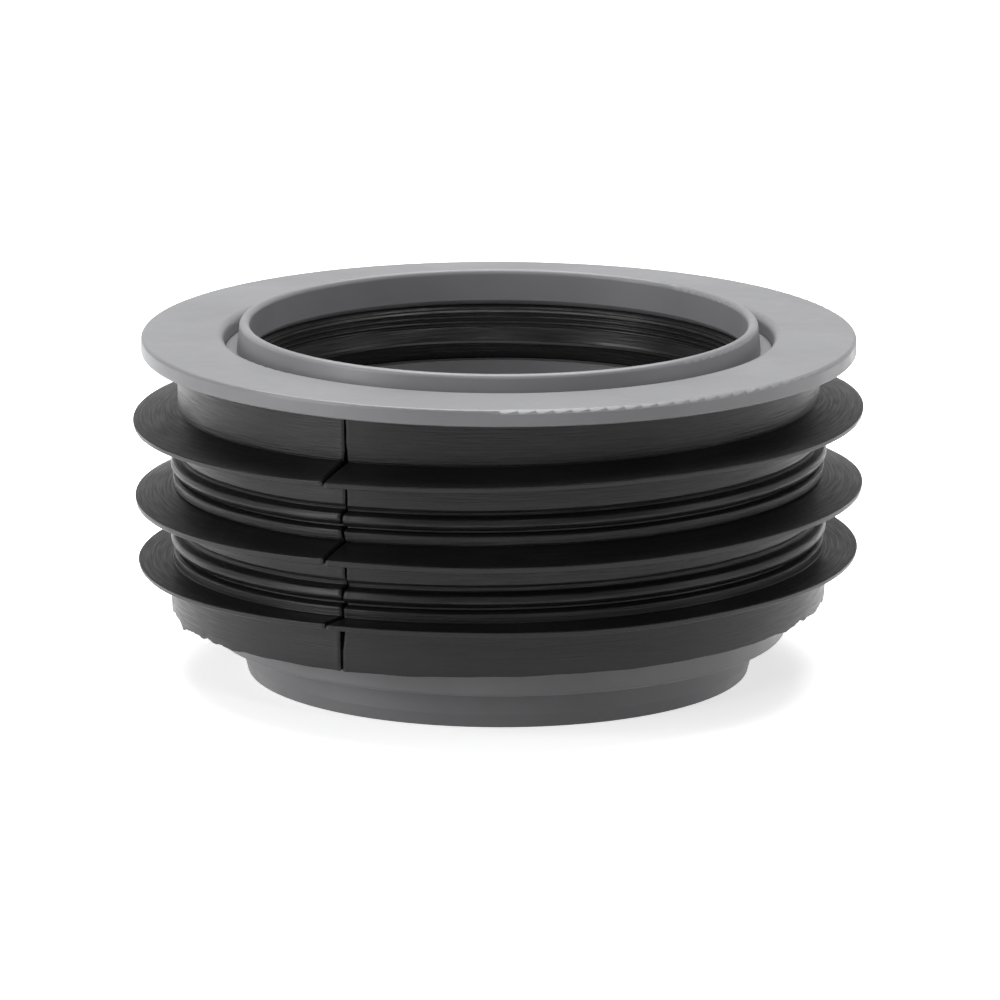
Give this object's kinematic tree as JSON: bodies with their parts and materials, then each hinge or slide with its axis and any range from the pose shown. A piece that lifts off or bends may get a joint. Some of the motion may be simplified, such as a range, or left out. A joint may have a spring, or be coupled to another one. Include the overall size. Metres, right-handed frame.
{
  "type": "pipe reducer",
  "caption": "Short push-in drain pipe reducer: grey flanged body with black lipped rubber outside and a sealed socket in its bore.",
  "frame": {"origin": "centre of the spigot's lower end, on the axis of the bore", "axes": "+Z along the bore, from the spigot up to the mouth; +X and +Y across, -Y towards the camera of the picture"},
  "size_m": [0.1124, 0.1124, 0.0545],
  "materials": {
    "grey_plastic": "satin moulded",
    "black_rubber": "semi-matt extruded"
  },
  "bodies": {
    "root": {"reducer_body": "grey_plastic", "retaining_ring": "grey_plastic", "pipe_seal": "black_rubber", "lip_sleeve": "black_rubber"}
  },
  "joints": []
}
